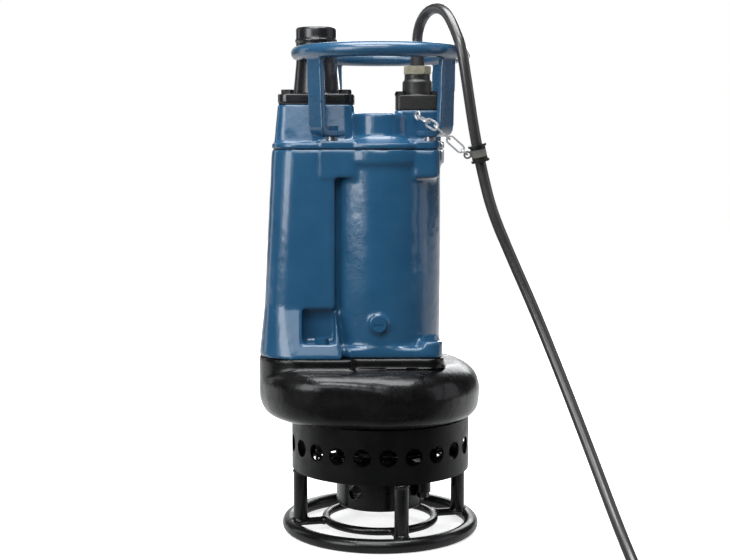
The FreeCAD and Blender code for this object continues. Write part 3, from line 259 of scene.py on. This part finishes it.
BLUE = cast_paint("blue_cast_paint", (30, 75, 108), (41, 88, 122), lump=0.00017, peel=0.00014,
                  roughness=0.20, coat=0.6)
BLUE_BAR = cast_paint("blue_bar_paint", (33, 74, 104), (42, 84, 116), lump=0.00008,
                      peel=0.00003, roughness=0.27, coat=0.8)
BLACK = cast_paint("black_cast_paint", (8, 8, 9), (13, 13, 14), lump=0.00016, peel=0.00013,
                   roughness=0.26, coat=0.28, specular=0.32, dust=0.08)
BLACK_SHEET = cast_paint("black_sheet_paint", (9, 9, 10), (14, 14, 15), lump=0.00006,
                         peel=0.00004, roughness=0.36, coat=0.0, specular=0.22)
BLACK_BAR = cast_paint("black_bar_paint", (9, 9, 10), (15, 15, 16), lump=0.00006,
                       peel=0.00002, roughness=0.28, coat=0.3, specular=0.4)
COUPLING = cast_paint("coupling_enamel", (18, 19, 21), (30, 31, 34), lump=0.00012,
                      peel=0.00007, roughness=0.28, coat=0.6)
GLAND = cast_paint("gland_casting", (26, 26, 25), (46, 45, 42), lump=0.00022, peel=0.00012,
                   roughness=0.40, coat=0.1)
STEEL = worn_metal("zinc_steel", (196, 197, 200), (140, 142, 146), 0.30, metallic=0.75)
BOLT_BLACK = worn_metal("blacked_bolt", (96, 96, 98), (50, 50, 52), 0.38)
ZINC = worn_metal("bright_zinc", (236, 236, 238), (196, 197, 200), 0.25, metallic=0.55)
BRASS = worn_metal("nickel_brass", (214, 209, 184), (170, 163, 138), 0.34, metallic=0.6)
SHAFT = worn_metal("ground_steel", (200, 202, 206), (170, 172, 176), 0.22)
IRON = worn_metal("bare_iron", (92, 90, 88), (60, 58, 56), 0.5)
COPPER = worn_metal("copper_wire", (190, 110, 62), (140, 78, 44), 0.35)
RUBBER = rubber("cable_rubber", (42, 40, 40), (58, 56, 55), 0.34, coat=1.0)
GASKET = rubber("gasket_rubber", (24, 24, 26), (34, 34, 36), 0.6)
CARBON = rubber("seal_carbon", (40, 40, 42), (52, 52, 54), 0.35)
WEBBING = rubber("tie_webbing", (26, 26, 28), (40, 40, 43), 0.7)
CLAMP = clamp_skin_with_painted_highlight()

DRESS = {
    "stand_outer_ring": BLACK_BAR, "stand_inner_ring": BLACK_BAR, "stand_spokes": BLACK_BAR,
    "stand_legs": BLACK_BAR, "strainer_skirt": BLACK_SHEET, "strainer_bolts": BOLT_BLACK,
    "suction_hub": BLACK, "inner_screen": BLACK_SHEET, "suction_plate": BLACK,
    "suction_plate_screws": STEEL, "suction_bolts": BOLT_BLACK, "volute_casing": BLACK,
    "motor_frame": BLUE, "oil_plug": BLUE, "casing_bolts": BLUE, "cover_gasket": GASKET,
    "top_cover": BLUE, "discharge_gasket": GASKET, "hose_coupling": COUPLING,
    "coupling_bolts": BOLT_BLACK, "handle_ring": BLUE_BAR, "handle_legs": BLUE_BAR,
    "handle_spacers": STEEL, "handle_bolts": BLUE, "gland_plate": GLAND, "gland_bolts": BOLT_BLACK,
    "gland_body": GLAND, "gland_nut": BRASS, "gland_sleeve": GASKET, "shaft": SHAFT,
    "rotor_core": IRON, "impeller": IRON, "agitator": IRON, "shaft_sleeve": SHAFT,
    "agitator_nut": STEEL, "stator_core": IRON, "stator_windings": COPPER, "seal_cover": IRON,
    "lower_seal_seat": CARBON, "lower_seal_ring": SHAFT, "upper_seal_ring": SHAFT,
    "upper_seal_seat": CARBON, "power_cable": RUBBER, "cable_coil": RUBBER,
    "cable_clamp": CLAMP, "chain_eye": ZINC, "clamp_chain": ZINC,
}


def dress_nodes():
    """Gives each CAD node its material; the bearings' parts are ground steel."""
    for name, item in NODES.items():
        wanted = DRESS.get(name, SHAFT)
        if not item.material_slots:
            item.data.materials.append(wanted)
        for slot in item.material_slots:
            slot.material = wanted


dress_nodes()


# Cable: one spline from the gland to the coil's end

COIL_CENTRE = (0.1851, -0.4669)
COIL_MEAN = 0.1170
COIL_OUTER = COIL_MEAN + 3.5 * R
COIL_INNER = COIL_MEAN - 3.5 * R
COIL_END_INSIDE = COIL_INNER - 0.6 * R
COIL_STEPS = 16
LAYERS = (R, 3.06 * R, 5.12 * R)
LAYER_TURNS = 3.5
LAST_LAYER_TURNS = 4.05
CROSSING_TURNS = 0.35
LEAD_IN_TURNS = 0.25
LEAD_IN_OUTSIDE = COIL_MEAN + 5 * R - COIL_OUTER
CURVE_STEPS = 10


def coil_points():
    """Three layers wound inwards, outwards and inwards again, each turn beside the last."""
    low, middle, high = LAYERS
    legs = [(LAYER_TURNS, COIL_OUTER, COIL_INNER, low, low),
            (CROSSING_TURNS, COIL_INNER, COIL_INNER, low, middle),
            (LAYER_TURNS, COIL_INNER, COIL_OUTER, middle, middle),
            (CROSSING_TURNS, COIL_OUTER, COIL_OUTER, middle, high),
            (LAST_LAYER_TURNS, COIL_OUTER, COIL_END_INSIDE, high, high)]
    edges = np.cumsum([0.0] + [leg[0] for leg in legs])
    start = math.atan2(ROUTE[-1][1] - COIL_CENTRE[1], ROUTE[-1][0] - COIL_CENTRE[0])
    corner = 1.0 / math.cos(math.pi / COIL_STEPS)
    points = []
    for step in range(1, int(edges[-1] * COIL_STEPS) + 1):
        turn = step / COIL_STEPS
        leg = min(int(np.searchsorted(edges, turn, side="left")) - 1, len(legs) - 1)
        turns, radius_from, radius_to, level_from, level_to = legs[leg]
        share = (turn - edges[leg]) / turns
        radius = radius_from + (radius_to - radius_from) * share
        level = level_from + (level_to - level_from) * share * share * (3 - 2 * share)
        if turn < LEAD_IN_TURNS:
            radius += (1 - turn / LEAD_IN_TURNS) ** 2 * LEAD_IN_OUTSIDE
        angle = start - 2 * math.pi * turn
        points.append((COIL_CENTRE[0] + radius * corner * math.cos(angle),
                       COIL_CENTRE[1] + radius * corner * math.sin(angle), level))
    return points


def spline_curve(name, points, radius, material, sides=6):
    data = bpy.data.curves.new(name, "CURVE")
    data.dimensions = "3D"
    data.bevel_depth = radius
    data.bevel_resolution = sides
    data.use_fill_caps = True
    data.resolution_u = CURVE_STEPS
    spline = data.splines.new("NURBS")
    spline.points.add(len(points) - 1)
    for point, place in zip(spline.points, points):
        point.co = (*place, 1.0)
    spline.order_u = 3
    spline.use_endpoint_u = True
    item = bpy.data.objects.new(name, data)
    bpy.context.collection.objects.link(item)
    data.materials.append(material)
    return item


def make_cable():
    cable = spline_curve("rubber_cable", ROUTE + coil_points(), R, RUBBER, 8)
    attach(cable, BODY)
    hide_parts("power_cable", "cable_coil")
    return cable


cable = make_cable()


# Castings: the CAD shape with rounded edges and an uneven skin

SKIN_LUMPS = ((0.028, 1.0), (0.009, 0.3))
SKIN_MIDDLE = 0.6
SAME_POINT = 2e-6
BEAD_RIPPLES = ((9, 0.14), (23, 0.08))


def add_bead(bm, centre, axis, radius, thick, steps=48, sides=8):
    """A weld bead: a rippled ring round a bar."""
    turn = Vector(axis).to_track_quat("Z", "Y").to_matrix()
    rows = []
    for step in range(steps):
        angle = 2 * math.pi * step / steps
        wave = thick * sum((depth * math.sin(count * angle) for count, depth in BEAD_RIPPLES), 1)
        row = []
        for side in range(sides):
            lean = 2 * math.pi * side / sides
            reach = radius + wave * math.cos(lean)
            place = Vector((reach * math.cos(angle), reach * math.sin(angle),
                            wave * math.sin(lean)))
            row.append(bm.verts.new(Vector(centre) + turn @ place))
        rows.append(row)
    for step, row in enumerate(rows):
        after = rows[(step + 1) % steps]
        for side in range(sides):
            beside = (side + 1) % sides
            bm.faces.new((row[side], after[side], after[beside], row[beside]))


def join_nodes(name, nodes, beads):
    mesh = bpy.data.meshes.new(name)
    bm = bmesh.new()
    for node in nodes:
        bm.from_mesh(NODES[node].data)
    bmesh.ops.remove_doubles(bm, verts=bm.verts, dist=SAME_POINT)
    for bead in beads:
        add_bead(bm, *bead)
    bm.to_mesh(mesh)
    bm.free()
    item = bpy.data.objects.new(name, mesh)
    bpy.context.collection.objects.link(item)
    return item


def add_skin(item, size, strength):
    """Lets the surface wander in and out by clouds of this size."""
    texture = bpy.data.textures.new(item.name + "_skin", "CLOUDS")
    texture.noise_scale = size
    texture.noise_depth = 2
    skin = item.modifiers.new("skin", "DISPLACE")
    skin.texture = texture
    skin.texture_coords = "LOCAL"
    skin.strength = strength
    skin.mid_level = SKIN_MIDDLE


def casting(name, nodes, material, voxel, passes, swell, beads=()):
    """A remeshed copy of CAD nodes; swell is how far the skin wanders, in metres."""
    item = join_nodes(name, nodes, beads)
    item.data.materials.append(material)
    remesh = item.modifiers.new("even", "REMESH")
    remesh.mode = "VOXEL"
    remesh.voxel_size = voxel
    remesh.use_smooth_shade = True
    soften = item.modifiers.new("soften", "SMOOTH")
    soften.factor = 0.5
    soften.iterations = passes
    for size, share in SKIN_LUMPS:
        add_skin(item, size, swell * share)
    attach(item, BODY)
    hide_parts(*nodes)
    return item


# The volute's rim: its wall's middle level and half height, and how far it is drawn in

VOLUTE_MIDDLE, VOLUTE_HALF = 0.2165, 0.0405
VOLUTE_REACH = 0.15
KEPT_WITHIN = 0.07
TOP_DRAW_RIGHT = 0.015
TOP_DRAW_FROM, TOP_DRAW_FULL = -0.07, 0.04
LOW_DRAW, LOW_DRAW_LEFT = 0.006, 0.012
LOW_EDGE_DRAW_LEFT = 0.009
TOP_CURVE, LOW_CURVE, LOW_EDGE_CURVE = 1.6, 2, 8
HAIR = 0.001


def smooth_step(value, low, high):
    share = np.clip((value - low) / (high - low), 0, 1)
    return share * share * (3 - 2 * share)


def belly(points):
    """Draws the volute's rim in towards its top and bottom, so that its wall is a full curve."""
    across, radius = points[:, 0], np.hypot(points[:, 0], points[:, 1])
    level = np.clip((points[:, 2] - VOLUTE_MIDDLE) / VOLUTE_HALF, -1, 1)
    height, depth = np.clip(level, 0, 1), np.clip(-level, 0, 1)
    left = np.clip(-across / VOLUTE_REACH, 0, 1)
    above = TOP_DRAW_RIGHT * height ** TOP_CURVE
    above *= smooth_step(across, TOP_DRAW_FROM, TOP_DRAW_FULL)
    above *= points[:, 2] < VOLUTE_MIDDLE + VOLUTE_HALF + HAIR
    below = (LOW_DRAW + LOW_DRAW_LEFT * left) * depth ** LOW_CURVE
    below += LOW_EDGE_DRAW_LEFT * left * depth ** LOW_EDGE_CURVE
    draw = (above + below) * smooth_step(radius, KEPT_WITHIN, VOLUTE_REACH)
    points[:, :2] *= (1 - draw / np.maximum(radius, HAIR))[:, None]
    return points


def reshape(item, move):
    """Applies the modifiers and moves the points by a function."""
    graph = bpy.context.evaluated_depsgraph_get()
    mesh = bpy.data.meshes.new_from_object(item.evaluated_get(graph))
    item.modifiers.clear()
    item.data = mesh
    points = np.empty(len(mesh.vertices) * 3, dtype=np.float32)
    mesh.vertices.foreach_get("co", points)
    mesh.vertices.foreach_set("co", move(points.reshape(-1, 3)).ravel())
    mesh.update()


# The stand's welds: the places of its bars, and each bead's radius and thickness

LEG_PHASE, LEG_CIRCLE, LEG_TOP = 13.8, 0.123, 0.0948
INNER_RING, SPOKE_LEVEL = 0.082, 0.016
LEG_FOOT_BEAD = (0.0105, 0.0019)
LEG_TOP_BEAD = (0.0105, 0.0018)
SPOKE_BEAD = (0.006, 0.0015)


def stand_beads():
    """Welds where each leg meets its spoke and the skirt, and each spoke the inner ring."""
    up = Vector((0, 0, 1))
    for leg in range(4):
        angle = math.radians(LEG_PHASE + 90 * leg)
        out = Vector((math.sin(angle), -math.cos(angle), 0))
        yield LEG_CIRCLE * out + (SPOKE_LEVEL + 0.002) * up, up, *LEG_FOOT_BEAD
        yield LEG_CIRCLE * out + LEG_TOP * up, up, *LEG_TOP_BEAD
        yield (INNER_RING + 0.0055) * out + SPOKE_LEVEL * up, out, *SPOKE_BEAD


casting("frame_casting", ["motor_frame"], BLUE, voxel=0.0026, passes=9, swell=0.0007)
casting("cover_casting", ["top_cover"], BLUE, voxel=0.0017, passes=8, swell=0.0006)
volute = casting("volute_cast", ["volute_casing"], BLACK, voxel=0.0021, passes=18,
                 swell=0.0007)
reshape(volute, belly)
casting("welded_handle", ["handle_ring", "handle_legs"], BLUE_BAR, voxel=0.0014,
        passes=9, swell=0.0002)
casting("welded_stand", ["stand_outer_ring", "stand_inner_ring", "stand_spokes", "stand_legs"],
        BLACK_BAR, voxel=0.0015, passes=7, swell=0.0002, beads=stand_beads())
casting("hose_tail", ["hose_coupling"], COUPLING, voxel=0.0012, passes=4,
        swell=0.0002)
casting("gland_casting", ["gland_plate", "gland_body"], GLAND, voxel=0.0009,
        passes=4, swell=0.0004)


# What the cable carries: its bare cores at the far end and the ties round the coil

CORE_COLOURS = ((132, 84, 52), (24, 24, 26), (150, 152, 156), (92, 132, 62))
CORE_RADIUS, WIRE_RADIUS = 0.0021, 0.0012
CORE_SPREAD = 0.0030
CORE_REACH, CORE_STAGGER, WIRE_REACH = 0.030, 0.003, 0.009


def coil_end():
    """The radius, the angle and the height of the cable's last point in the coil."""
    last = Vector(coil_points()[-1])
    flat = Vector((last.x - COIL_CENTRE[0], last.y - COIL_CENTRE[1]))
    return flat.length, math.atan2(flat.y, flat.x), last.z


def arc_points(radius, start, height, length, steps=7):
    angles = [start - length / radius * step / steps for step in range(steps + 1)]
    return [(COIL_CENTRE[0] + radius * math.cos(angle),
             COIL_CENTRE[1] + radius * math.sin(angle), height) for angle in angles]


def cable_end():
    """Four cores that leave the sheath side by side, each with its bare wire."""
    radius, start, height = coil_end()
    made = []
    for number, colour in enumerate(CORE_COLOURS):
        turn = math.radians(45 + 90 * number)
        place = (radius + CORE_SPREAD * math.cos(turn), start,
                 height + CORE_SPREAD * math.sin(turn))
        cover = rubber("core_cover_%d" % number, colour, tuple(c + 10 for c in colour), 0.4)
        reach = CORE_REACH - CORE_STAGGER * number
        core = spline_curve("core_%d" % number, arc_points(*place, reach), CORE_RADIUS, cover)
        wire = spline_curve("core_wire_%d" % number, arc_points(*place, reach + WIRE_REACH),
                            WIRE_RADIUS, COPPER)
        for item, slot in ((core, "rubber"), (wire, "copper")):
            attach(item, BODY)
            made.append(item.name)
    return made


TIE_ANGLES = (45, 135, 225, 315)
TIE_HALF, TIE_LOW, TIE_HIGH = 4.06 * R, 0.0012, 6.14 * R
TIE_CORNER = 0.85 * R
TIE_THICK, TIE_HALF_WIDTH = 0.0011, 0.0055
TIE_EDGE = 0.0003
BUCKLE_LENGTH, BUCKLE_WIDTH = 0.012, 2.6 * TIE_HALF_WIDTH
BUCKLE_BAR, BUCKLE_CROSSBAR = 0.0022, 0.0020


def tie_outline(steps=6):
    """The strap's way round the coil's section, a rectangle with round corners."""
    outline = []
    for side, up, first in ((1, -1, -90), (1, 1, 0), (-1, 1, 90), (-1, -1, 180)):
        level = TIE_HIGH - TIE_CORNER if up > 0 else TIE_LOW + TIE_CORNER
        for step in range(steps + 1):
            turn = math.radians(first + 90 * step / steps)
            outline.append((side * (TIE_HALF - TIE_CORNER) + TIE_CORNER * math.cos(turn),
                            level + TIE_CORNER * math.sin(turn)))
    return outline


def add_strap(bm):
    middle = Vector((0, (TIE_LOW + TIE_HIGH) / 2))
    rows = []
    for across, up in tie_outline():
        out = (Vector((across, up)) - middle).normalized() * TIE_THICK
        rows.append([bm.verts.new((across + lift * out.x, side * TIE_HALF_WIDTH, up + lift * out.y))
                     for side, lift in ((-1, 0), (1, 0), (1, 1), (-1, 1))])
    for step, row in enumerate(rows):
        after = rows[(step + 1) % len(rows)]
        for side in range(4):
            beside = (side + 1) % 4
            bm.faces.new((row[side], row[beside], after[beside], after[side]))


def add_bar(bm, size, place):
    bar = bmesh.ops.create_cube(bm, size=1.0)["verts"]
    bmesh.ops.scale(bm, vec=size, verts=bar)
    bmesh.ops.translate(bm, vec=place, verts=bar)


def add_buckle(bm):
    """A square wire loop on top of the strap."""
    level = TIE_HIGH + BUCKLE_BAR / 2
    for side in (-1, 1):
        add_bar(bm, (BUCKLE_BAR, BUCKLE_WIDTH, BUCKLE_BAR), (side * BUCKLE_LENGTH / 2, 0, level))
    for side in (-1, 1):
        add_bar(bm, (BUCKLE_LENGTH + BUCKLE_BAR, BUCKLE_CROSSBAR, BUCKLE_BAR),
                (0, side * 1.25 * TIE_HALF_WIDTH, level))


def coil_tie(number, angle):
    """A flat strap round all turns at one side of the coil, with its buckle on top."""
    bm = bmesh.new()
    add_strap(bm)
    add_buckle(bm)
    bmesh.ops.recalc_face_normals(bm, faces=bm.faces)
    place = (Matrix.Translation((*COIL_CENTRE, 0)) @ Matrix.Rotation(angle, 4, "Z")
             @ Matrix.Translation((COIL_MEAN, 0, 0)))
    bmesh.ops.transform(bm, matrix=place, verts=bm.verts)
    mesh = bpy.data.meshes.new("coil_tie_%d" % number)
    bm.to_mesh(mesh)
    bm.free()
    item = bpy.data.objects.new(mesh.name, mesh)
    bpy.context.collection.objects.link(item)
    mesh.materials.append(WEBBING)
    bevel = item.modifiers.new("edges", "BEVEL")
    bevel.width = TIE_EDGE
    bevel.segments = 2
    bevel.limit_method = "ANGLE"
    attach(item, BODY)
    return item.name


carried = cable_end()
carried += [coil_tie(number, math.radians(angle)) for number, angle in enumerate(TIE_ANGLES)]


# Studio: lamps, white surroundings and a floor that keeps the pump's shadow

DAYLIGHT = (0.96, 0.985, 1.0)
VIOLET = (0.94, 0.90, 1.0)
HANDLE, UPPER, MIDDLE = (0, 0, 0.62), (0, 0, 0.6), (0, 0, 0.45)
WHITE = (1, 1, 1, 1)
DIFFUSE_SKY = 0.28
SKY_BEHIND = (0.8, 1.0)
SKY_GLOSS = (0.04, 0.8)
FLOOR_HALF = 6.0
FLOOR_NEAR = (-0.35, 0.15)
FLOOR_DARK, FLOOR_PALE = (0.06, 0.06, 0.06, 1), (0.82, 0.82, 0.82, 1)
FLOOR_PALE_BEHIND, FLOOR_MIRRORED_BEHIND = 0.6, 0.4
GLOW_REACH, GLOW = (0.3, 1.1), (0.72, 1.0)


def area_light(name, place, target, size, power, colour=DAYLIGHT):
    data = bpy.data.lights.new(name, "AREA")
    data.shape = "RECTANGLE"
    data.size, data.size_y = size
    data.energy = power
    data.color = colour
    item = bpy.data.objects.new(name, data)
    item.location = place
    item.rotation_euler = (Vector(target) - Vector(place)).to_track_quat("-Z", "Y").to_euler()
    bpy.context.collection.objects.link(item)


def make_lights():
    area_light("key_left", (-1.40, -1.40, 0.95), HANDLE, (0.85, 1.1), 12)
    area_light("key_soft", (-1.55, -1.50, 0.95), HANDLE, (1.7, 1.4), 6)
    area_light("front_high", (-0.3, -1.35, 1.95), UPPER, (1.2, 0.5), 20)
    area_light("front_low", (-0.35, -1.75, 1.28), UPPER, (1.3, 0.5), 5)
    area_light("top", (0.0, -0.25, 2.1), (0, -0.05, 0.5), (1.7, 0.9), 42)
    area_light("side_right", (1.9, -0.3, 0.9), MIDDLE, (1.3, 1.4), 4, VIOLET)
    area_light("side_left", (-1.9, 0.9, 0.9), MIDDLE, (0.5, 1.4), 2)
    area_light("back", (0.5, 2.0, 1.3), MIDDLE, (1.6, 1.2), 22)


def make_world():
    """White for the camera, dim for the paint, and bright only behind in reflections."""
    world = bpy.data.worlds.new("studio")
    bpy.context.scene.world = world
    n = Nodes(world, "OutputWorld")
    rays = n.add("LightPath").outputs
    back = n.add("SeparateXYZ", Vector=n.coordinates["Generated"]).outputs["Y"]
    behind = n.ramp(back, *SKY_BEHIND, *SKY_GLOSS)
    dim, white, shiny = (n.add("Background", Color=WHITE, Strength=strength).outputs[0]
                         for strength in (DIFFUSE_SKY, 1.0, behind))
    glossy = n.maths("MAXIMUM", rays["Is Glossy Ray"], rays["Is Transmission Ray"])
    n.finish(n.pick(rays["Is Camera Ray"], n.pick(glossy, dim, shiny), white))


def floor_paint():
    """Glows for the camera, so that only the shadow shows, and is dark in front elsewhere."""
    n = new_material("pale_floor")
    near = n.ramp(n.add("SeparateXYZ", Vector=n.place).outputs["Y"], *FLOOR_NEAR)
    rays = n.add("LightPath").outputs
    clear = n.maths("MAXIMUM", rays["Is Camera Ray"], rays["Is Transmission Ray"])
    pale = n.maths("MAXIMUM", clear, n.ramp(near, 0, 1, 0, FLOOR_PALE_BEHIND))
    plain = n.add("BsdfDiffuse", Color=n.mix(pale, FLOOR_DARK, FLOOR_PALE)).outputs[0]
    distance = n.vector_maths("LENGTH", n.place)["Value"]
    glow = n.add("Emission", Color=WHITE, Strength=n.ramp(distance, *GLOW_REACH, *GLOW))
    bright = n.add("AddShader", _0=plain, _1=glow.outputs[0]).outputs[0]
    back = n.ramp(near, 0, 1, 0, FLOOR_MIRRORED_BEHIND)
    mirrored = n.maths("MULTIPLY", rays["Is Glossy Ray"], back)
    n.finish(n.pick(n.maths("MAXIMUM", clear, mirrored), plain, bright))
    return n.owner


def make_floor():
    mesh = bpy.data.meshes.new("floor")
    size = FLOOR_HALF
    mesh.from_pydata([(-size, -size, 0), (size, -size, 0), (size, size, 0), (-size, size, 0)],
                     [], [(0, 1, 2, 3)])
    floor = bpy.data.objects.new("floor", mesh)
    bpy.context.collection.objects.link(floor)
    mesh.materials.append(floor_paint())


make_lights()
make_world()
make_floor()
